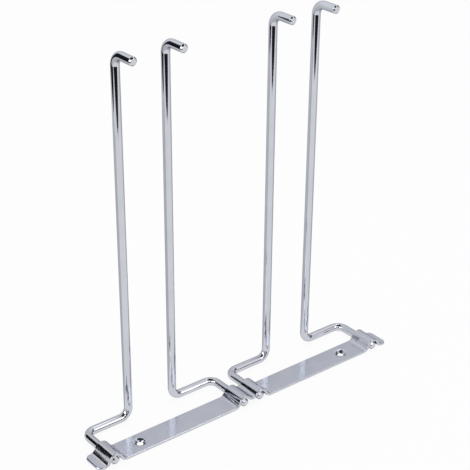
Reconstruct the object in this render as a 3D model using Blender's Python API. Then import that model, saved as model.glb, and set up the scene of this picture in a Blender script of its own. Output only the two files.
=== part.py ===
# Wall rack for stemmed glasses, in chromium-plated steel. One flat strip is bent into four low saddles,
# and each saddle holds the foot of a bent round bar that swivels in it. The four bars make two slots.
# Metres. The strip lies in the wall plane z = 0, the rails stand out along +Z, and +X runs along the strip.

import math

import bmesh
import bpy
from mathutils import Matrix, Vector

# Round bar: lengths run between the centrelines of its bends, and from the last one to the end face
ROD_DIAMETER = 0.006
FOOT_LENGTH = 0.039
SIDE_STEP = 0.0365
RAIL_REACH = 0.266
TIP_LENGTH = 0.0205
ROD_BEND_RADIUS = 0.007
TIP_BEND_RADIUS = 0.008
ROD_END_CHAMFER = 0.001

# Flat strip
STRIP_WIDTH = 0.0185
STRIP_THICKNESS = 0.002
STRIP_EDGE_RADIUS = 0.0004
FOLD_RADIUS = 0.0045
VALLEY_RADIUS = 0.0035
TONGUE_REACH = 0.0139
TONGUE_CORNER_RADIUS = 0.004

# Where the feet sit: the pitch of the two feet of one slot, and the gap between the two inner feet
SLOT_PITCH = 0.111
MIDDLE_PITCH = 0.0145
SADDLE_CLEARANCE = 0.0007

# Screw holes, with a wide pressed countersink
HOLE_INSET = 0.0255
HOLE_DIAMETER = 0.0046
SINK_DIAMETER = 0.0112
SINK_ANGLE = math.radians(45)
SINK_SHOULDER_RADIUS = 0.0035
CUTTER_OVERRUN = 0.001

# How finely round shapes are faceted
ROD_SIDES = 20
ROD_BEND_STEPS = 8
SADDLE_STEPS = 12
FOLD_STEPS = 6
CORNER_STEPS = 4
EDGE_STEPS = 2
HOLE_SIDES = 32
SHOULDER_STEPS = 3

ROD_RADIUS = ROD_DIAMETER / 2
SADDLE_RADIUS = ROD_RADIUS + SADDLE_CLEARANCE
DEPTH = FOOT_LENGTH + ROD_RADIUS
STRIP_Y = (STRIP_WIDTH - DEPTH) / 2
FOOT_END_Y = -DEPTH / 2
OUTER_X = MIDDLE_PITCH / 2 + SLOT_PITCH
INNER_X = MIDDLE_PITCH / 2


def clear_scene():
    for found in list(bpy.data.objects):
        bpy.data.objects.remove(found, do_unlink=True)


def chrome(name, colour, roughness):
    material = bpy.data.materials.new(name)
    material.use_nodes = True
    shader = material.node_tree.nodes["Principled BSDF"]
    shader.inputs["Base Color"].default_value = (*colour, 1.0)
    shader.inputs["Metallic"].default_value = 1.0
    shader.inputs["Roughness"].default_value = roughness
    return material


def rail_chrome():
    return chrome("rail_chrome", (0.80, 0.80, 0.83), 0.06)


def strip_chrome():
    return chrome("strip_chrome", (0.74, 0.75, 0.79), 0.14)


def loft(name, rings):
    """One closed solid through a list of rings, each with as many points as the next."""
    shell = bmesh.new()
    rows = [[shell.verts.new(point) for point in ring] for ring in rings]
    for row, following in zip(rows, rows[1:]):
        for side in range(len(row)):
            last = side - 1
            shell.faces.new((row[last], row[side], following[side], following[last]))
    shell.faces.new(rows[0])
    shell.faces.new(rows[-1])
    bmesh.ops.recalc_face_normals(shell, faces=shell.faces)
    mesh = bpy.data.meshes.new(name)
    shell.to_mesh(mesh)
    shell.free()
    mesh.shade_smooth()
    mesh.set_sharp_from_angle(angle=math.radians(35))
    thing = bpy.data.objects.new(name, mesh)
    bpy.context.collection.objects.link(thing)
    return thing


def moved(station, distance):
    return station @ Matrix.Translation((0, 0, distance))


def bent(station, towards, radius):
    """Stations round one bend, from a section that faces along the bar to one that faces towards."""
    heading = station.to_3x3() @ Vector((0, 0, 1))
    pivot = station.translation + towards * radius
    for step in range(1, ROD_BEND_STEPS + 1):
        turn = Matrix.Rotation(math.pi / 2 * step / ROD_BEND_STEPS, 4, heading.cross(towards))
        yield Matrix.Translation(pivot) @ turn @ Matrix.Translation(-pivot) @ station


def round_section(station, radius):
    angles = [2 * math.pi * side / ROD_SIDES for side in range(ROD_SIDES)]
    return [station @ Vector((radius * math.cos(a), radius * math.sin(a), 0)) for a in angles]


def rail_rings(hand):
    """Sections of one rail about its swivel axis: along the wall, sideways, out from it, and up the tip."""
    end_radius = ROD_RADIUS - ROD_END_CHAMFER
    start = Matrix.Translation((0, FOOT_END_Y, 0)) @ Matrix.Rotation(-math.pi / 2, 4, "X")
    path = [moved(start, ROD_END_CHAMFER)]
    runs = (
        (FOOT_LENGTH - ROD_BEND_RADIUS - ROD_END_CHAMFER, Vector((hand, 0, 0)), ROD_BEND_RADIUS),
        (SIDE_STEP - 2 * ROD_BEND_RADIUS, Vector((0, 0, 1)), ROD_BEND_RADIUS),
        (RAIL_REACH - ROD_BEND_RADIUS - TIP_BEND_RADIUS, Vector((0, -1, 0)), TIP_BEND_RADIUS),
    )
    for length, towards, radius in runs:
        path.append(moved(path[-1], length))
        path.extend(bent(path[-1], towards, radius))
    path.append(moved(path[-1], TIP_LENGTH - TIP_BEND_RADIUS - ROD_END_CHAMFER))
    rings = [round_section(station, ROD_RADIUS) for station in path]
    rings.insert(0, round_section(start, end_radius))
    rings.append(round_section(moved(path[-1], ROD_END_CHAMFER), end_radius))
    return rings


def make_rail(name, foot_x, hand, material):
    rail = loft(name, rail_rings(hand))
    rail.location = (foot_x, 0, ROD_RADIUS)
    rail.data.materials.append(material)
    return rail


def arc(centre_x, centre_z, top_radius, bottom_radius, start, end, steps):
    """Pairs of points on the strip's top and underside, round one bend in its length."""
    for step in range(steps + 1):
        angle = start + (end - start) * step / steps
        ray = Vector((math.cos(angle), math.sin(angle)))
        centre = Vector((centre_x, centre_z))
        yield centre + ray * top_radius, centre + ray * bottom_radius


def fold(centre_x, centre_z, radius, start, end):
    outer = radius + STRIP_THICKNESS
    return list(arc(centre_x, centre_z, radius, outer, start, end, FOLD_STEPS))


def saddle(centre_x, start, end):
    outer = SADDLE_RADIUS + STRIP_THICKNESS
    return list(arc(centre_x, ROD_RADIUS, outer, SADDLE_RADIUS, start, end, SADDLE_STEPS))


def half_profile():
    """The strip's top and underside from the middle of its length out to the foot of the end tongue.

    A saddle and the fold beside it touch where their centres are as far apart as their radii together.
    """
    crown = SADDLE_RADIUS + STRIP_THICKNESS
    valley_z = ROD_RADIUS + math.sqrt((crown + VALLEY_RADIUS) ** 2 - INNER_X**2)
    valley_slope = math.atan2(valley_z - ROD_RADIUS, INNER_X)
    fold_z = STRIP_THICKNESS + FOLD_RADIUS
    fold_run = math.sqrt((crown + FOLD_RADIUS) ** 2 - (fold_z - ROD_RADIUS) ** 2)
    slope = math.atan2(fold_z - ROD_RADIUS, fold_run)
    right, down, left = 0, -math.pi / 2, -math.pi
    pairs = fold(0, valley_z, VALLEY_RADIUS, down, right - valley_slope)
    pairs += saddle(INNER_X, math.pi - valley_slope, slope)[1:]
    pairs += fold(INNER_X + fold_run, fold_z, FOLD_RADIUS, left + slope, down)[1:]
    pairs += fold(OUTER_X - fold_run, fold_z, FOLD_RADIUS, down, right - slope)
    pairs += saddle(OUTER_X, math.pi - slope, slope)[1:]
    pairs += fold(OUTER_X + fold_run, fold_z, FOLD_RADIUS, left + slope, down)[1:]
    return pairs


def flat_section(top, bottom, inset):
    """One section across the strip, with its four long edges rounded."""
    across = STRIP_WIDTH / 2 - inset - STRIP_EDGE_RADIUS
    through = (top - bottom).length / 2 - STRIP_EDGE_RADIUS
    middle = (top + bottom) / 2
    normal = (top - bottom).normalized()
    ring = []
    for quarter, (side, rise) in enumerate(((1, 1), (-1, 1), (-1, -1), (1, -1))):
        for step in range(EDGE_STEPS + 1):
            angle = math.pi / 2 * (quarter + step / EDGE_STEPS)
            offset = side * across + STRIP_EDGE_RADIUS * math.cos(angle)
            height = middle + normal * (rise * through + STRIP_EDGE_RADIUS * math.sin(angle))
            ring.append(Vector((height.x, offset, height.y)))
    return ring


def tongue_rings():
    """Sections of the end tongue, drawn in round its two corners and thinned at its end face."""
    end_x = OUTER_X + TONGUE_REACH
    rings = []
    for step in range(CORNER_STEPS + 1):
        angle = math.pi / 2 * step / CORNER_STEPS
        x = end_x - TONGUE_CORNER_RADIUS * (1 - math.sin(angle))
        inset = TONGUE_CORNER_RADIUS * (1 - math.cos(angle))
        rings.append(flat_section(Vector((x, STRIP_THICKNESS)), Vector((x, 0)), inset))
    return rings


def mirrored(ring):
    return [Vector((-point.x, point.y, point.z)) for point in ring]


def strip_rings():
    half = [flat_section(top, bottom, 0) for top, bottom in half_profile()] + tongue_rings()
    return [mirrored(ring) for ring in reversed(half[1:])] + half


def sink_profile():
    """Radius and height up the countersink: the hole, the straight cone, and the rounded shoulder."""
    rim = SINK_DIAMETER / 2
    hole = HOLE_DIAMETER / 2
    shoulder = [
        (
            rim - SINK_SHOULDER_RADIUS * math.sin(SINK_ANGLE * share),
            STRIP_THICKNESS - SINK_SHOULDER_RADIUS * (1 - math.cos(SINK_ANGLE * share)),
        )
        for share in [1 - step / SHOULDER_STEPS for step in range(SHOULDER_STEPS)]
    ]
    cone_radius, cone_z = shoulder[0]
    hole_z = cone_z - (cone_radius - hole) * math.tan(SINK_ANGLE)
    last_radius, last_z = shoulder[-1]
    slope = (STRIP_THICKNESS - last_z) / (rim - last_radius)
    above = STRIP_THICKNESS + CUTTER_OVERRUN
    clear_radius = rim + CUTTER_OVERRUN / slope
    return [(hole, -CUTTER_OVERRUN), (hole, hole_z), *shoulder, (clear_radius, above)]


def make_sink_cutter(name, x):
    rings = []
    for radius, z in sink_profile():
        angles = [2 * math.pi * side / HOLE_SIDES for side in range(HOLE_SIDES)]
        rings.append([Vector((radius * math.cos(a), radius * math.sin(a), z)) for a in angles])
    cutter = loft(name, rings)
    cutter.location = (x, STRIP_Y, 0)
    cutter.hide_render = True
    cutter.display_type = "WIRE"
    return cutter


def make_strip(material):
    strip = loft("mounting_strip", strip_rings())
    strip.location = (0, STRIP_Y, 0)
    strip.data.materials.append(material)
    for side, x in (("left", HOLE_INSET - OUTER_X), ("right", OUTER_X - HOLE_INSET)):
        cut = strip.modifiers.new(side + "_screw_hole", "BOOLEAN")
        cut.operation = "DIFFERENCE"
        cut.solver = "EXACT"
        cut.object = make_sink_cutter(side + "_sink_cutter", x)
    return strip


clear_scene()
make_strip(strip_chrome())
bar_chrome = rail_chrome()
make_rail("rail_left_outer", -OUTER_X, 1, bar_chrome)
make_rail("rail_left_inner", -INNER_X, -1, bar_chrome)
make_rail("rail_right_inner", INNER_X, 1, bar_chrome)
make_rail("rail_right_outer", OUTER_X, -1, bar_chrome)
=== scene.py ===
import math

import bmesh
import bpy
from mathutils import Euler, Matrix, Vector


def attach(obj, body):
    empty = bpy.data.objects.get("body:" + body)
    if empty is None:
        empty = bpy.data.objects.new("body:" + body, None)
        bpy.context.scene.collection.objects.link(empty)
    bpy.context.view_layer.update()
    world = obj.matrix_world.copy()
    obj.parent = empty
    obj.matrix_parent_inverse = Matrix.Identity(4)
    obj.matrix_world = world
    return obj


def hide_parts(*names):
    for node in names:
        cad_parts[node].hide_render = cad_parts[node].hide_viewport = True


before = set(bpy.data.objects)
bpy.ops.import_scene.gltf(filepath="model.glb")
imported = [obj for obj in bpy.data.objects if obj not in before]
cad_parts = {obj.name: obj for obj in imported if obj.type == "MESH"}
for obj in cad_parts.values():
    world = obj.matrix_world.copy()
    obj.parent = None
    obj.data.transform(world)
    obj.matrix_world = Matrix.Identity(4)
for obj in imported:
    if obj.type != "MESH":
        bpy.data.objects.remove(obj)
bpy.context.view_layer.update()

# Mounting strip. One length of 18.5 by 2 mm steel flat, bent cold into four low saddles with a raised
# valley between the middle two, its tongue corners rounded and two countersinks pressed into it. It is
# chromium plated, and two screws fix it to the wall.
BAR_RADIUS = 0.003
SADDLE_BORE = 0.0037
OUTER_FOOT_X = 0.11825
INNER_FOOT_X = 0.00725
STRIP_WIDTH = 0.0185
STRIP_GAUGE = 0.002
STRIP_MIDDLE_Y = -0.01175
FOLD_BORE = 0.0045
VALLEY_BORE = 0.0035
EDGE_ROUND = 0.0005
EDGE_CUTS = 5
TONGUE_END_X = 0.13215
TONGUE_CORNER = 0.004
TONGUE_ROLL = 0.0013
TONGUE_CUTS = 12
SADDLE_CUTS = 44
FOLD_CUTS = 20

strip_points = []
strip_normals = []
strip_lays = []
strip_faces = []


def bend_stations(centre_x, centre_z, radius, start, end, cuts, inwards):
    """Mid-gauge points round one bend, each with the way that the strip's top faces."""
    for cut in range(cuts + 1):
        angle = start + (end - start) * cut / cuts
        ray = Vector((math.cos(angle), 0, math.sin(angle)))
        yield Vector((centre_x, STRIP_MIDDLE_Y, centre_z)) + ray * radius, ray * (-1 if inwards else 1)


def saddle_stations(centre_x, start, end):
    radius = SADDLE_BORE + STRIP_GAUGE / 2
    return list(bend_stations(centre_x, BAR_RADIUS, radius, start, end, SADDLE_CUTS, inwards=False))


def fold_stations(centre_x, centre_z, bore, start, end):
    radius = bore + STRIP_GAUGE / 2
    return list(bend_stations(centre_x, centre_z, radius, start, end, FOLD_CUTS, inwards=True))


def edge_ring(low_edge, high_edge, low_way, high_way, top_way, lay, top_round=EDGE_ROUND):
    """One section of the strip with its four long edges rounded, and where it lay on the flat blank."""
    first = len(strip_points)
    for edge, way, rise, backwards, curve in (
        (high_edge, high_way, 1, False, top_round),
        (low_edge, low_way, 1, True, top_round),
        (low_edge, low_way, -1, False, EDGE_ROUND),
        (high_edge, high_way, -1, True, EDGE_ROUND),
    ):
        through = STRIP_GAUGE / 2 - curve
        for cut in range(EDGE_CUTS + 1):
            angle = math.pi / 2 * (EDGE_CUTS - cut if backwards else cut) / EDGE_CUTS
            facing = way * math.cos(angle) + top_way * (rise * math.sin(angle))
            point = edge - way * curve + top_way * (rise * through) + facing * curve
            strip_points.append(point)
            strip_normals.append(facing)
            strip_lays.append(Vector((lay, point.y, rise * (through + curve * math.sin(angle)))))
    return list(range(first, len(strip_points)))


def straight_ring(middle, top_way, lay):
    across = Vector((0, STRIP_WIDTH / 2, 0))
    return edge_ring(middle - across, middle + across, Vector((0, -1, 0)), Vector((0, 1, 0)), top_way, lay)


def tongue_ring(angle, end, lay):
    """One section drawn round the tongue's two corners, its top edge rolled over more towards the end."""
    out = Vector((end * math.sin(angle), 0, 0))
    side = Vector((0, math.cos(angle), 0))
    middle = Vector((end * (TONGUE_END_X - TONGUE_CORNER), STRIP_MIDDLE_Y, STRIP_GAUGE / 2))
    across = Vector((0, STRIP_WIDTH / 2 - TONGUE_CORNER, 0))
    low = middle - across + (out - side) * TONGUE_CORNER
    high = middle + across + (out + side) * TONGUE_CORNER
    top_round = EDGE_ROUND + (TONGUE_ROLL - EDGE_ROUND) * math.sin(angle) ** 2
    return edge_ring(low, high, out - side, out + side, Vector((0, 0, 1)), lay, top_round)


crown = SADDLE_BORE + STRIP_GAUGE
fold_z = STRIP_GAUGE + FOLD_BORE
fold_run = math.sqrt((crown + FOLD_BORE) ** 2 - (fold_z - BAR_RADIUS) ** 2)
flank = math.atan2(fold_z - BAR_RADIUS, fold_run)
valley_z = BAR_RADIUS + math.sqrt((crown + VALLEY_BORE) ** 2 - INNER_FOOT_X**2)
valley_flank = math.atan2(valley_z - BAR_RADIUS, INNER_FOOT_X)

half_bends = fold_stations(0, valley_z, VALLEY_BORE, -math.pi / 2, -valley_flank)
half_bends += saddle_stations(INNER_FOOT_X, math.pi - valley_flank, flank)[1:]
half_bends += fold_stations(INNER_FOOT_X + fold_run, fold_z, FOLD_BORE, flank - math.pi, -math.pi / 2)[1:]
inner_flat_end = len(half_bends) - 1
half_bends += fold_stations(OUTER_FOOT_X - fold_run, fold_z, FOLD_BORE, -math.pi / 2, -flank)
half_bends += saddle_stations(OUTER_FOOT_X, math.pi - flank, flank)[1:]
half_bends += fold_stations(OUTER_FOOT_X + fold_run, fold_z, FOLD_BORE, flank - math.pi, -math.pi / 2)[1:]

# Screw holes, one in the flat between each two saddles: a countersink pressed into the steel, 11 mm across
# its soft rim and 4.6 mm through.
SINK_X = 0.09275
SINK_RIM = 0.0056
SINK_HOLE = 0.0023
SINK_SLOPE = math.radians(45)
SINK_SHOULDER = 0.0035
SINK_BURR = 0.00008
SHOULDER_CUTS = 10
BURR_CUTS = 4
SINK_PATCH = 0.009
SINK_CELLS = 24

lay_along = [0.0]
for (before, _), (after, _) in zip(half_bends, half_bends[1:]):
    lay_along.append(lay_along[-1] + (after - before).length)

patch_steps = [SINK_PATCH * (2 * cell / SINK_CELLS - 1) for cell in range(SINK_CELLS + 1)]
half_rings = []
patch_spans = []
for end in (-1, 1):
    rings = []
    for number, (middle, top_way) in enumerate(half_bends):
        if end == -1 and number == 0:
            continue
        where = Vector((end * middle.x, middle.y, middle.z))
        way = Vector((end * top_way.x, top_way.y, top_way.z))
        rings.append(straight_ring(where, way, end * lay_along[number]))
        if number == inner_flat_end:
            patch = []
            for step in patch_steps:
                x = SINK_X + step
                centre = Vector((end * x, STRIP_MIDDLE_Y, STRIP_GAUGE / 2))
                lay = end * (lay_along[number] + x - middle.x)
                patch.append(straight_ring(centre, Vector((0, 0, 1)), lay))
            rings.extend(patch)
            patch_spans.append((end, patch))
    tongue_lay = lay_along[-1] + TONGUE_END_X - TONGUE_CORNER - half_bends[-1][0].x
    for cut in range(TONGUE_CUTS + 1):
        angle = math.pi / 2 * cut / TONGUE_CUTS
        lay = tongue_lay + TONGUE_CORNER * math.sin(angle)
        rings.append(tongue_ring(angle, end, end * lay))
    half_rings.append(rings)
strip_rings = half_rings[0][::-1] + half_rings[1]

# Skin of the strip. Its two flat faces are left open over each countersink, where rings round the hole
# close them.
corner_cuts = EDGE_CUTS + 1
top_flat = corner_cuts - 1
under_flat = 3 * corner_cuts - 1
patch_pairs = {frozenset((a[0], b[0])) for _, patch in patch_spans for a, b in zip(patch, patch[1:])}


def flat_row(ring, index, step_count):
    """Extra points across one flat of a section, from its higher side to its lower side."""
    start = ring[index]
    stop = ring[index + 1]
    row = [start]
    for cell in range(1, step_count):
        share = cell / step_count
        row.append(len(strip_points))
        strip_points.append(strip_points[start].lerp(strip_points[stop], share))
        strip_normals.append(strip_normals[start].copy())
        strip_lays.append(strip_lays[start].lerp(strip_lays[stop], share))
    row.append(stop)
    return row


flat_rows = {}
for _, patch in patch_spans:
    for ring in (patch[0], patch[-1]):
        flat_rows[ring[0], top_flat] = flat_row(ring, top_flat, SINK_CELLS)
        flat_rows[ring[0], under_flat] = flat_row(ring, under_flat, SINK_CELLS)

for ring, following in zip(strip_rings, strip_rings[1:]):
    inside = frozenset((ring[0], following[0])) in patch_pairs
    for side in range(len(ring)):
        after = (side + 1) % len(ring)
        if side in (top_flat, under_flat):
            if inside:
                continue
            near = flat_rows.get((ring[0], side), [ring[side], ring[after]])
            far = flat_rows.get((following[0], side), [following[side], following[after]])
            strip_faces.append(near + far[::-1])
        else:
            strip_faces.append([ring[side], ring[after], following[after], following[side]])

for ring in (strip_rings[0], strip_rings[-1]):
    high_side = ring[3 * corner_cuts :] + ring[:corner_cuts]
    low_side = ring[corner_cuts : 3 * corner_cuts][::-1]
    for a, b, c, d in zip(high_side, high_side[1:], low_side[1:], low_side):
        strip_faces.append([a, b, c, d])


def sink_profile():
    """Radius, height and tilt of the surface from the soft rim down to the underside of the hole."""
    for cut in range(SHOULDER_CUTS + 1):
        tilt = SINK_SLOPE * cut / SHOULDER_CUTS
        drop = SINK_SHOULDER * (1 - math.cos(tilt))
        yield SINK_RIM - SINK_SHOULDER * math.sin(tilt), STRIP_GAUGE - drop, tilt
    shoulder_r = SINK_RIM - SINK_SHOULDER * math.sin(SINK_SLOPE)
    shoulder_z = STRIP_GAUGE - SINK_SHOULDER * (1 - math.cos(SINK_SLOPE))
    lip_r = SINK_HOLE + SINK_BURR * (1 - math.sin(SINK_SLOPE))
    lip_z = shoulder_z - (shoulder_r - lip_r) * math.tan(SINK_SLOPE)
    centre_z = lip_z - SINK_BURR * math.cos(SINK_SLOPE)
    for cut in range(BURR_CUTS + 1):
        tilt = SINK_SLOPE + (math.pi / 2 - SINK_SLOPE) * cut / BURR_CUTS
        yield SINK_HOLE + SINK_BURR * (1 - math.sin(tilt)), centre_z + SINK_BURR * math.cos(tilt), tilt
    for cut in range(BURR_CUTS + 1):
        tilt = math.pi / 2 * (1 + cut / BURR_CUTS)
        yield SINK_HOLE + SINK_BURR * (1 - math.sin(tilt)), SINK_BURR * (1 + math.cos(tilt)), tilt


def flat_loop(patch, index):
    """The points all round one flat of the patch: along its higher side, across, back and across."""
    far = flat_rows[patch[-1][0], index]
    near = flat_rows[patch[0][0], index]
    if strip_points[near[0]].y < strip_points[near[-1]].y:
        far, near = far[::-1], near[::-1]
    high = index if strip_points[patch[0][index]].y > STRIP_MIDDLE_Y else index + 1
    low = index + 1 if high == index else index
    loop = [ring[high] for ring in patch[:-1]]
    loop += far[:-1]
    loop += [ring[low] for ring in patch[:0:-1]]
    loop += near[:0:-1]
    return loop


def sink_ring(points, normals, lay_shift):
    """One ring of the sink, with its place on the flat blank."""
    first = len(strip_points)
    for point, facing in zip(points, normals):
        strip_points.append(point)
        strip_normals.append(facing)
        strip_lays.append(Vector((lay_shift + point.x, point.y, point.z - STRIP_GAUGE / 2)))
    return list(range(first, len(strip_points)))


for end, patch in patch_spans:
    centre = Vector((end * SINK_X, STRIP_MIDDLE_Y, 0))
    top_loop = flat_loop(patch, top_flat)
    under_loop = flat_loop(patch, under_flat)
    lay_shift = strip_lays[patch[SINK_CELLS // 2][0]].x - centre.x
    rays = []
    for number in top_loop:
        ray = strip_points[number] - centre
        rays.append(Vector((ray.x, ray.y, 0)).normalized())
    loops = [top_loop]
    top_rim = [centre + ray * SINK_RIM + Vector((0, 0, STRIP_GAUGE)) for ray in rays]
    for share in (0.4, 0.8):
        points = [strip_points[number].lerp(goal, share) for number, goal in zip(top_loop, top_rim)]
        loops.append(sink_ring(points, [Vector((0, 0, 1))] * len(rays), lay_shift))
    for radius, height, tilt in sink_profile():
        points = [centre + ray * radius + Vector((0, 0, height)) for ray in rays]
        facings = [Vector((0, 0, math.cos(tilt))) - ray * math.sin(tilt) for ray in rays]
        loops.append(sink_ring(points, facings, lay_shift))
    under_rim = [strip_points[number] for number in loops[-1]]
    points = [strip_points[number].lerp(goal, 0.5) for number, goal in zip(under_loop, under_rim)]
    loops.append(sink_ring(points, [Vector((0, 0, -1))] * len(rays), lay_shift))
    loops.append(under_loop)
    for loop, following in zip(loops, loops[1:]):
        for side in range(len(loop)):
            last = side - 1
            strip_faces.append([loop[last], loop[side], following[side], following[last]])


def forged(name, points, normals, lays, faces, rub, satin):
    """A closed mesh with exact surface directions, its place on the unbent stock, and its finish."""
    shell = bmesh.new()
    corners = [shell.verts.new(point) for point in points]
    for face in faces:
        shell.faces.new([corners[number] for number in face])
    bmesh.ops.recalc_face_normals(shell, faces=shell.faces)
    mesh = bpy.data.meshes.new(name)
    shell.to_mesh(mesh)
    shell.free()
    mesh.shade_smooth()
    mesh.normals_split_custom_set_from_vertices([facing.normalized() for facing in normals])
    stock = mesh.attributes.new("on_stock", "FLOAT_VECTOR", "POINT")
    stock.data.foreach_set("vector", [value for lay in lays for value in lay])
    for finish, amounts in (("rubbed", rub), ("satin", satin)):
        mesh.attributes.new(finish, "FLOAT", "POINT").data.foreach_set("value", amounts)
    piece = bpy.data.objects.new(name, mesh)
    bpy.context.scene.collection.objects.link(piece)
    return piece


# Plating of the strip. It wears and dulls first on the long edges and at the rims of the holes. The flats
# keep the satin of the rolled stock, which the press tools have smoothed away in the saddles and the sinks.
RUB_REACH = 0.0012
FLAT_FROM = 0.97
FLAT_REACH = 0.03
FOLD_FROM = 0.34
FOLD_REACH = 0.4
FOLD_SATIN = 0.45
SATIN_BELOW_Z = 2.4 * STRIP_GAUGE


def grown(value, start, reach, most=1.0):
    """0 up to the start, then climbing over the reach, and no more than the most."""
    return min(most, max(0.0, (value - start) / reach))


strip_rub = []
strip_satin = []
for point, facing in zip(strip_points, strip_normals):
    edge = max(0.0, 1 - (STRIP_WIDTH / 2 - abs(point.y - STRIP_MIDDLE_Y)) / RUB_REACH)
    from_hole = math.hypot(abs(point.x) - SINK_X, point.y - STRIP_MIDDLE_Y)
    rim = max(0.0, 1 - abs(from_hole - SINK_HOLE) / RUB_REACH)
    strip_rub.append(min(1.0, max(edge, rim)))
    flat = grown(abs(facing.z), FLAT_FROM, FLAT_REACH)
    fold = grown(abs(facing.z), FOLD_FROM, FOLD_REACH, FOLD_SATIN)
    strip_satin.append(max(flat, fold) if point.z < SATIN_BELOW_Z else 0.0)

strip = forged(
    "chromed_strip",
    strip_points,
    strip_normals,
    strip_lays,
    strip_faces,
    strip_rub,
    strip_satin,
)

# Grazing tone of the plating: painted shade that dims the chrome's reflections towards the outlines of the
# bars and the strip, in place of the darker surroundings that those edges would mirror.
GRAZING_SHADE_TONE = (0.6, 0.62, 0.67)
THIN_PLATE = 0.5
RUB_DULLING = 0.12
SATIN_DULLING = 0.13


def noise_on(material, lay, fineness, detail):
    grain = material.node_tree.nodes.new("ShaderNodeTexNoise")
    grain.inputs["Scale"].default_value = fineness
    grain.inputs["Detail"].default_value = detail
    grain.inputs["Roughness"].default_value = 0.55
    material.node_tree.links.new(lay, grain.inputs["Vector"])
    return grain.outputs["Fac"]


def stretched(material, lay, stretch):
    """The place on the stock, squeezed so that a noise comes out long one way."""
    mapping = material.node_tree.nodes.new("ShaderNodeMapping")
    mapping.inputs["Scale"].default_value = stretch
    material.node_tree.links.new(lay, mapping.inputs["Vector"])
    return mapping.outputs["Vector"]


def spread(material, value, low, high, to_low, to_high):
    """Takes part of a noise's range to a range of the finish."""
    span = material.node_tree.nodes.new("ShaderNodeMapRange")
    for name, number in zip(("From Min", "From Max", "To Min", "To Max"), (low, high, to_low, to_high)):
        span.inputs[name].default_value = number
    material.node_tree.links.new(value, span.inputs["Value"])
    return span.outputs["Result"]


def combined(material, operation, first, second):
    sum_of = material.node_tree.nodes.new("ShaderNodeMath")
    sum_of.operation = operation
    for socket, value in zip(sum_of.inputs, (first, second)):
        if isinstance(value, float):
            socket.default_value = value
        else:
            material.node_tree.links.new(value, socket)
    return sum_of.outputs["Value"]


def toned(material, share, stops):
    """A run of tones, from share 0 to 1."""
    ramp = material.node_tree.nodes.new("ShaderNodeValToRGB")
    while len(ramp.color_ramp.elements) < len(stops):
        ramp.color_ramp.elements.new(0.5)
    for element, (place, colour) in zip(ramp.color_ramp.elements, stops):
        element.position = place
        element.color = (*colour, 1.0)
    material.node_tree.links.new(share, ramp.inputs["Fac"])
    return ramp.outputs["Color"]


def mixed(material, share, colour, over):
    mix = material.node_tree.nodes.new("ShaderNodeMix")
    mix.data_type = "RGBA"
    material.node_tree.links.new(share, mix.inputs[0])
    material.node_tree.links.new(colour, mix.inputs[6])
    mix.inputs[7].default_value = (*over, 1.0)
    return mix.outputs[2]


def raised(material, height, depth, under=None):
    bump = material.node_tree.nodes.new("ShaderNodeBump")
    bump.inputs["Strength"].default_value = 1.0
    bump.inputs["Distance"].default_value = depth
    material.node_tree.links.new(height, bump.inputs["Height"])
    if under is not None:
        material.node_tree.links.new(under, bump.inputs["Normal"])
    return bump.outputs["Normal"]


def chromium(name, tones, thin_tone, gloss, grain, swell, swell_depth, grain_depth):
    """Bright chromium over nickel: a cloudy tone, the stock's own grain, and a duller, warmer rub."""
    material = bpy.data.materials.new(name)
    material.use_nodes = True
    shader = material.node_tree.nodes["Principled BSDF"]
    shader.inputs["Metallic"].default_value = 1.0
    # Painted shade: the grey specular tint darkens the reflections at grazing angles.
    shader.inputs["Specular Tint"].default_value = (*GRAZING_SHADE_TONE, 1.0)
    stock = material.node_tree.nodes.new("ShaderNodeAttribute")
    stock.attribute_name = "on_stock"
    rubbed = material.node_tree.nodes.new("ShaderNodeAttribute")
    rubbed.attribute_name = "rubbed"
    satin = material.node_tree.nodes.new("ShaderNodeAttribute")
    satin.attribute_name = "satin"
    lay = stock.outputs["Vector"]
    cloud = noise_on(material, lay, fineness=60, detail=3)
    specks = noise_on(material, lay, fineness=900, detail=2)
    scuffs = spread(material, specks, 0.45, 0.62, 0.0, 1.0)
    rub = combined(material, "MULTIPLY", rubbed.outputs["Fac"], scuffs)
    hairlines = noise_on(material, stretched(material, lay, grain), fineness=1, detail=4)
    tone = toned(material, cloud, ((0.35, tones[0]), (0.65, tones[1])))
    thin = combined(material, "MULTIPLY", rub, THIN_PLATE)
    link = material.node_tree.links.new
    link(mixed(material, thin, tone, thin_tone), shader.inputs["Base Color"])
    dulled = spread(material, hairlines, 0.3, 0.7, gloss[0], gloss[1])
    matted = combined(material, "MULTIPLY", rub, RUB_DULLING)
    satiny = combined(material, "MULTIPLY", satin.outputs["Fac"], SATIN_DULLING)
    softened = combined(material, "ADD", matted, satiny)
    link(combined(material, "ADD", dulled, softened), shader.inputs["Roughness"])
    wave = noise_on(material, stretched(material, lay, swell), fineness=1, detail=1)
    normal = raised(material, wave, swell_depth)
    link(raised(material, hairlines, grain_depth, normal), shader.inputs["Normal"])
    return material


strip.data.materials.append(
    chromium(
        "strip_plate",
        tones=((0.545, 0.562, 0.632), (0.58, 0.596, 0.664)),
        thin_tone=(0.52, 0.50, 0.47),
        gloss=(0.04, 0.08),
        grain=(60, 2600, 2600),
        swell=(45, 90, 90),
        swell_depth=0.000012,
        grain_depth=0.0000001,
    )
)
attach(strip, "strip")
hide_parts("mounting_strip")

# Four rails. Each is one 6 mm drawn steel bar, bent cold three times into foot, side step, long rail and
# upturned tip, its ends chamfered, then chromium plated. It lies loose in its saddle and swivels there.
FOOT_END_Y = -0.021
FOOT_LENGTH = 0.039
SIDE_STEP = 0.0365
RAIL_REACH = 0.266
TIP_LENGTH = 0.0205
BAR_BEND = 0.007
TIP_BEND = 0.008
END_CHAMFER = 0.001
END_BURR = 0.0003
END_CUTS = 3
BAR_SIDES = 64
BEND_CUTS = 28
STRAIGHT_CUT = 0.012
SADDLE_RUB_AT = 0.0082
SADDLE_RUB_REACH = 0.010
WALL_RUB_REACH = 0.0008


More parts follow.
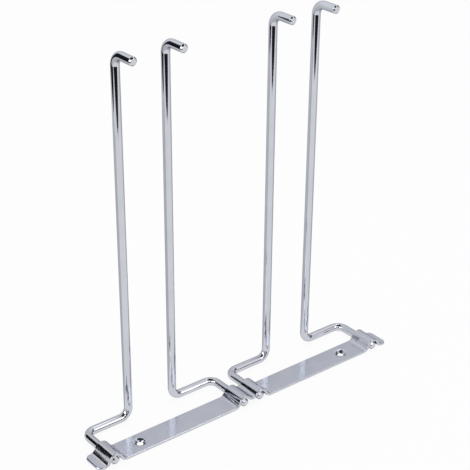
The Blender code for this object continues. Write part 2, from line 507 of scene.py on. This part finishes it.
def bar_stations(hand):
    """Square sections along the bar's centreline, with the length of stock up to each."""
    section = Matrix.Translation((0, FOOT_END_Y, 0)) @ Matrix.Rotation(-math.pi / 2, 4, "X")
    length = 0.0
    stations = [(section, length)]
    for straight, towards, radius in (
        (FOOT_LENGTH - BAR_BEND, Vector((hand, 0, 0)), BAR_BEND),
        (SIDE_STEP - 2 * BAR_BEND, Vector((0, 0, 1)), BAR_BEND),
        (RAIL_REACH - BAR_BEND - TIP_BEND, Vector((0, -1, 0)), TIP_BEND),
        (TIP_LENGTH - TIP_BEND, None, None),
    ):
        pieces = max(1, round(straight / STRAIGHT_CUT))
        for piece in range(1, pieces + 1):
            step = straight * piece / pieces
            stations.append((section @ Matrix.Translation((0, 0, step)), length + step))
        section, length = stations[-1]
        if towards is None:
            break
        heading = section.to_3x3() @ Vector((0, 0, 1))
        pivot = section.translation + towards * radius
        for cut in range(1, BEND_CUTS + 1):
            turn = Matrix.Rotation(math.pi / 2 * cut / BEND_CUTS, 4, heading.cross(towards))
            turned = Matrix.Translation(pivot) @ turn @ Matrix.Translation(-pivot) @ section
            stations.append((turned, length + radius * math.pi / 2 * cut / BEND_CUTS))
        section, length = stations[-1]
    return stations


def end_profile():
    """Radius, depth below the end face and tilt of the surface, from the flat end out to the round."""
    corner = END_BURR * math.tan(math.pi / 8)
    for middle, depth, first_tilt in (
        (BAR_RADIUS - END_CHAMFER - corner, END_BURR, 0.0),
        (BAR_RADIUS - END_BURR, END_CHAMFER + corner, math.pi / 4),
    ):
        for cut in range(END_CUTS + 1):
            tilt = first_tilt + math.pi / 4 * cut / END_CUTS
            yield middle + END_BURR * math.sin(tilt), depth - END_BURR * math.cos(tilt), tilt


def bar_mesh(name, foot_x, hand):
    points = []
    normals = []
    lays = []
    rub = []
    rings = []

    def ring(section, length, radius, lean):
        start = len(points)
        for side in range(BAR_SIDES):
            angle = 2 * math.pi * side / BAR_SIDES
            out = Vector((math.cos(angle), math.sin(angle), 0))
            point = section @ (out * radius)
            points.append(point + Vector((foot_x, 0, BAR_RADIUS)))
            normals.append(section.to_3x3() @ (out * math.sin(lean) + Vector((0, 0, math.cos(lean)))))
            lays.append(out * radius + Vector((0, 0, length)))
            in_saddle = max(0.0, 1 - abs(length - SADDLE_RUB_AT) / SADDLE_RUB_REACH)
            on_wall = max(0.0, 1 - (point.z + BAR_RADIUS) / WALL_RUB_REACH)
            cut_end = max(0.0, 1 - abs(lean - math.pi / 4)) if lean != math.pi / 2 else 0.0
            rub.append(min(1.0, max(0.6 * in_saddle, on_wall, 0.7 * cut_end)))
        rings.append(list(range(start, len(points))))

    stations = bar_stations(hand)
    profile = list(end_profile())
    first, _ = stations[0]
    last, stock_length = stations[-1]
    deepest = profile[-1][1]
    for radius, depth, tilt in profile:
        ring(first @ Matrix.Translation((0, 0, depth)), depth, radius, math.pi - tilt)
    for section, length in stations:
        if deepest < length < stock_length - deepest:
            ring(section, length, BAR_RADIUS, math.pi / 2)
    for radius, depth, tilt in reversed(profile):
        ring(last @ Matrix.Translation((0, 0, -depth)), stock_length - depth, radius, tilt)
    faces = [rings[0][::-1], rings[-1]]
    for near, far in zip(rings, rings[1:]):
        for side in range(BAR_SIDES):
            faces.append([near[side - 1], near[side], far[side], far[side - 1]])
    return forged(name, points, normals, lays, faces, rub, [0.0] * len(points))


bar_plate = chromium(
    "bar_plate",
    tones=((0.575, 0.588, 0.637), (0.607, 0.620, 0.668)),
    thin_tone=(0.52, 0.50, 0.47),
    gloss=(0.045, 0.075),
    grain=(2400, 2400, 45),
    swell=(60, 60, 28),
    swell_depth=0.000008,
    grain_depth=0.0000001,
)
for name, node_name, body, foot_x, hand in (
    ("bar_left_outer", "rail_left_outer", "left_outer_rail", -OUTER_FOOT_X, 1),
    ("bar_left_inner", "rail_left_inner", "left_inner_rail", -INNER_FOOT_X, -1),
    ("bar_right_inner", "rail_right_inner", "right_inner_rail", INNER_FOOT_X, 1),
    ("bar_right_outer", "rail_right_outer", "right_outer_rail", OUTER_FOOT_X, -1),
):
    bar = bar_mesh(name, foot_x, hand)
    bar.data.materials.append(bar_plate)
    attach(bar, body)
    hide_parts(node_name)

# Table that the rack stands on: one sheet of plain white paper. It is even and nearly shadowless to the eye
# and to the chrome, and a little darker right under the rack.
TABLE_REACH = 6.0
TABLE_DROP = -0.0001
TABLE_EVENNESS = 0.92


def sheet_of(name, corners, material):
    mesh = bpy.data.meshes.new(name)
    shell = bmesh.new()
    shell.faces.new([shell.verts.new(corner) for corner in corners])
    shell.to_mesh(mesh)
    shell.free()
    mesh.materials.append(material)
    sheet = bpy.data.objects.new(name, mesh)
    bpy.context.scene.collection.objects.link(sheet)
    return sheet


def lying(outline, height):
    return [(corner[0], corner[1], height) for corner in outline]


def seen_directly(tree):
    """1 for the camera and for what metal or glass shows of the surroundings, 0 for the light on things."""
    path = tree.nodes.new("ShaderNodeLightPath")
    first = tree.nodes.new("ShaderNodeMath")
    first.operation = "MAXIMUM"
    tree.links.new(path.outputs["Is Camera Ray"], first.inputs[0])
    tree.links.new(path.outputs["Is Glossy Ray"], first.inputs[1])
    either = tree.nodes.new("ShaderNodeMath")
    either.operation = "MAXIMUM"
    tree.links.new(first.outputs[0], either.inputs[0])
    tree.links.new(path.outputs["Is Transmission Ray"], either.inputs[1])
    return either.outputs[0]


paper = bpy.data.materials.new("white_paper")
paper.use_nodes = True
tree = paper.node_tree
tree.nodes.clear()
matt = tree.nodes.new("ShaderNodeBsdfDiffuse")
matt.inputs["Color"].default_value = (0.85, 0.85, 0.85, 1)
even = tree.nodes.new("ShaderNodeEmission")
even.inputs["Color"].default_value = (1, 1, 1, 1)
even.inputs["Strength"].default_value = 1.0
share = tree.nodes.new("ShaderNodeMath")
share.operation = "MULTIPLY"
share.inputs[1].default_value = TABLE_EVENNESS
tree.links.new(seen_directly(tree), share.inputs[0])
mix = tree.nodes.new("ShaderNodeMixShader")
tree.links.new(share.outputs[0], mix.inputs[0])
tree.links.new(matt.outputs[0], mix.inputs[1])
tree.links.new(even.outputs[0], mix.inputs[2])
surface = tree.nodes.new("ShaderNodeOutputMaterial")
tree.links.new(mix.outputs[0], surface.inputs[0])
far = TABLE_REACH
table_outline = [(-far, -far), (far, -far), (far, far), (-far, far)]
sheet_of("table", lying(table_outline, TABLE_DROP), paper)

# Grey cards on the table, behind the rack and to its right: painted shade, which stands in for the dimmer
# light on the table there and which the sides of the bars mirror. Like all the studio's cards of board and
# cloth, they are seen in the chrome alone.
COOL_WHITE = (0.97, 0.985, 1.0)
GREY_LEVEL = 0.68
BACK_SHADE_HEIGHT = 0.0004
SIDE_SHADE_HEIGHT = 0.0006


def card_finish(name, colour, strength):
    material = bpy.data.materials.new(name)
    material.use_nodes = True
    tree = material.node_tree
    tree.nodes.clear()
    glow = tree.nodes.new("ShaderNodeEmission")
    glow.inputs["Color"].default_value = (*colour, 1)
    glow.inputs["Strength"].default_value = strength
    surface = tree.nodes.new("ShaderNodeOutputMaterial")
    tree.links.new(glow.outputs[0], surface.inputs[0])
    return material


def card(name, corners, material):
    sheet = sheet_of(name, corners, material)
    sheet.visible_camera = False
    sheet.visible_diffuse = False
    sheet.visible_transmission = False
    sheet.visible_shadow = False


# Painted shade: grey sheets, seen only in the chrome, for the less lit table behind and right of the rack.
table_shade_finish = card_finish("table_shade_card", COOL_WHITE, GREY_LEVEL)
back_outline = [(-0.6, 0.03), (0.6, 0.03), (0.6, 0.45), (-0.6, 0.45)]
card("back_shade_card", lying(back_outline, BACK_SHADE_HEIGHT), table_shade_finish)
side_outline = [(0.14, 0.03), (0.9, 0.03), (0.9, -0.6), (0.5, -0.34), (0.14, -0.05)]
card("side_shade_card", lying(side_outline, SIDE_SHADE_HEIGHT), table_shade_finish)

# Black cards that lie on the table, past the front, left and back of a stretch that is turned a little to
# the rack. They give the black streaks at the tops of the bars. One more black card under the strip is
# painted
# shade: it stands in for the shadow there, and the chrome mirrors it as dark hollows under the strip.
TABLE_TURN = math.radians(-24)
FRONT_EDGE = 0.540
LEFT_EDGE = 0.660
BACK_EDGE = 0.485
BLACK_CARD_HEIGHT = 0.001
UNDER_STRIP_HEIGHT = -0.00005
black_cards_and_shade = card_finish("black_card", (0.5, 0.5, 0.6), 0.03)
front_out = Vector((math.sin(TABLE_TURN), -math.cos(TABLE_TURN), 0))
left_out = Vector((-math.cos(TABLE_TURN), -math.sin(TABLE_TURN), 0))
front_corner = front_out * FRONT_EDGE + left_out * LEFT_EDGE
back_corner = left_out * LEFT_EDGE - front_out * BACK_EDGE
right_end = front_out * FRONT_EDGE - left_out * 1.5
for name, near, far_side, outwards in (
    ("front_floor_card", front_corner + left_out * 3, right_end, front_out * 3),
    ("left_floor_card", front_corner, back_corner, left_out * 3),
    ("back_floor_card", back_corner + left_out * 3, back_corner - left_out * 2, front_out * -3),
):
    outline = [near, far_side, far_side + outwards, near + outwards]
    card(name, lying(outline, BLACK_CARD_HEIGHT), black_cards_and_shade)
shade_outline = [(-0.131, -0.0205), (0.131, -0.0205), (0.131, -0.003), (-0.131, -0.003)]
# Painted shade: a black sheet for the shadow under the strip, seen only in the chrome.
card("under_strip_shade", lying(shade_outline, UNDER_STRIP_HEIGHT), black_cards_and_shade)

# Pale board that stands close behind the rack, cut to a slant at its left end, and lit more towards its
# top. The flats of the strip mirror it, and so do the saddles and the tips.
BOARD_PLACE_Y = 0.18
CLIMB_FROM_Z = 0.15
CLIMB_TO_Z = 0.38
BOARD_LOW_LEVEL = 0.74
BOARD_TOP_LEVEL = 1.0
pale_board = card_finish("pale_card", COOL_WHITE, BOARD_TOP_LEVEL)
board = pale_board.node_tree
place = board.nodes.new("ShaderNodeTexCoord")
parts = board.nodes.new("ShaderNodeSeparateXYZ")
board.links.new(place.outputs["Object"], parts.inputs[0])
climb = spread(pale_board, parts.outputs["Z"], CLIMB_FROM_Z, CLIMB_TO_Z, BOARD_LOW_LEVEL, BOARD_TOP_LEVEL)
board.links.new(climb, board.nodes["Emission"].inputs["Strength"])
slant = [(-0.11, 0.55), (-0.118, 0.35), (-0.122, 0.19), (-0.165, 0.10)]
board_outline = [(-0.165, 0), (1.2, 0), (1.2, 0.55)] + slant
card("back_card", [(x, BOARD_PLACE_Y, z) for x, z in board_outline], pale_board)

# Black cards that stand at the left and the front and hang overhead, and a dark cloth on the right. They
# give the dark streaks on the tips, the saddles and the side steps.
CEILING_HEIGHT = 1.0


def standing(start, end, low, high):
    bottom = [(start[0], start[1], low), (end[0], end[1], low)]
    top = [(end[0], end[1], high), (start[0], start[1], high)]
    return bottom + top


wall_start = left_out * LEFT_EDGE - front_out * 0.13
wall_end = left_out * LEFT_EDGE - front_out * 0.93
front_end = front_corner - left_out * 2.2
card("left_wall_card", standing(wall_start, wall_end, 0, 0.84), black_cards_and_shade)
card("front_wall_card", standing(front_corner, front_end, 0, 0.22), black_cards_and_shade)
ceiling_outline = [(-1.1, -0.75), (0.35, -0.75), (0.35, 0.55), (-1.1, 0.55)]
card("ceiling_card", lying(ceiling_outline, CEILING_HEIGHT), black_cards_and_shade)
card("camera_card", standing((-0.63, -0.57), (-0.42, -0.73), 0.25, 0.6), black_cards_and_shade)
dark_cloth = card_finish("dark_cloth", (0.9, 0.92, 1.0), 0.2)
card("right_wall_card", standing((0.9, -0.75), (0.9, 0.1), 0, 0.95), dark_cloth)

# Two bright white cloths, far off to the left and the front left. The bars show them as fine bright lines
# near their feet, and the flat of the strip mirrors those bars as soft bright bands.
CLOTH_LEVEL = 2.7
CLOTH_LOW = 0.3
bright_cloth = card_finish("bright_cloth", (0.98, 0.99, 1.0), CLOTH_LEVEL)
card("front_cloth", standing((-1.0, -1.33), (-0.3, -1.33), CLOTH_LOW, 1.05), bright_cloth)
card("left_cloth", standing((-1.0, -1.33), (-1.0, 0.7), CLOTH_LOW, 1.15), bright_cloth)


# Lamps: a tall softbox in front and to the right, and a wide one overhead. Both are soft and plain, and the
# chrome shows them as pale patches.
def softbox(name, place, aim, width, height, watts):
    lamp = bpy.data.lights.new(name, "AREA")
    lamp.shape = "RECTANGLE"
    lamp.size = width
    lamp.size_y = height
    lamp.energy = watts
    thing = bpy.data.objects.new(name, lamp)
    thing.location = place
    thing.rotation_euler = (Vector(aim) - Vector(place)).to_track_quat("-Z", "Y").to_euler()
    thing.visible_camera = False
    bpy.context.scene.collection.objects.link(thing)


softbox("front_softbox", (0.27, -0.74, 0.36), aim=(0, 0, 0.02), width=0.42, height=0.54, watts=1.3)
softbox("overhead_softbox", (0.2, 0.5, 1.6), aim=(0, 0, 0), width=1.2, height=1.2, watts=8.0)

# Room round the table. It lights the rack with plain grey-white, a little darker overhead, and is pure
# white to the eye and to the chrome.
HORIZON_LEVEL = 0.82
OVERHEAD_LEVEL = 0.66
OVERHEAD_RISE = 0.5
world = bpy.data.worlds.new("studio")
bpy.context.scene.world = world
world.use_nodes = True
tree = world.node_tree
tree.nodes.clear()
way = tree.nodes.new("ShaderNodeTexCoord")
split = tree.nodes.new("ShaderNodeSeparateXYZ")
tree.links.new(way.outputs["Generated"], split.inputs[0])
dome = tree.nodes.new("ShaderNodeValToRGB")
stops = ((0.0, HORIZON_LEVEL), (OVERHEAD_RISE, OVERHEAD_LEVEL))
for element, (rise, level) in zip(dome.color_ramp.elements, stops):
    element.position = rise
    element.color = (*[level * part for part in COOL_WHITE], 1)
tree.links.new(split.outputs["Z"], dome.inputs["Fac"])
camera_white = tree.nodes.new("ShaderNodeMix")
camera_white.data_type = "RGBA"
camera_white.inputs[7].default_value = (1, 1, 1, 1)
tree.links.new(seen_directly(tree), camera_white.inputs[0])
tree.links.new(dome.outputs["Color"], camera_white.inputs[6])
sky = tree.nodes.new("ShaderNodeBackground")
tree.links.new(camera_white.outputs[2], sky.inputs["Color"])
sky.inputs["Strength"].default_value = 1.0
world_end = tree.nodes.new("ShaderNodeOutputWorld")
tree.links.new(sky.outputs[0], world_end.inputs[0])

# Camera at the photograph's viewing angle, from the front left and above, with a long lens. The shift is
# the photograph's own framing.
lens = bpy.data.cameras.new("camera")
lens.sensor_fit = "HORIZONTAL"
lens.sensor_width = 36
lens.lens = 100.01
lens.shift_x = 0.0737
lens.shift_y = 0.0936
lens.clip_start = 0.01
camera = bpy.data.objects.new("camera", lens)
camera.location = (-0.49755, -0.61656, 0.53303)
aim = Euler((math.radians(90 - 29.0744), 0, math.radians(-37.1006))).to_matrix()
camera.rotation_euler = (aim @ Matrix.Rotation(math.radians(-0.3605), 3, "Z")).to_euler()
bpy.context.scene.collection.objects.link(camera)
bpy.context.scene.camera = camera
bpy.context.scene.view_settings.view_transform = "Standard"
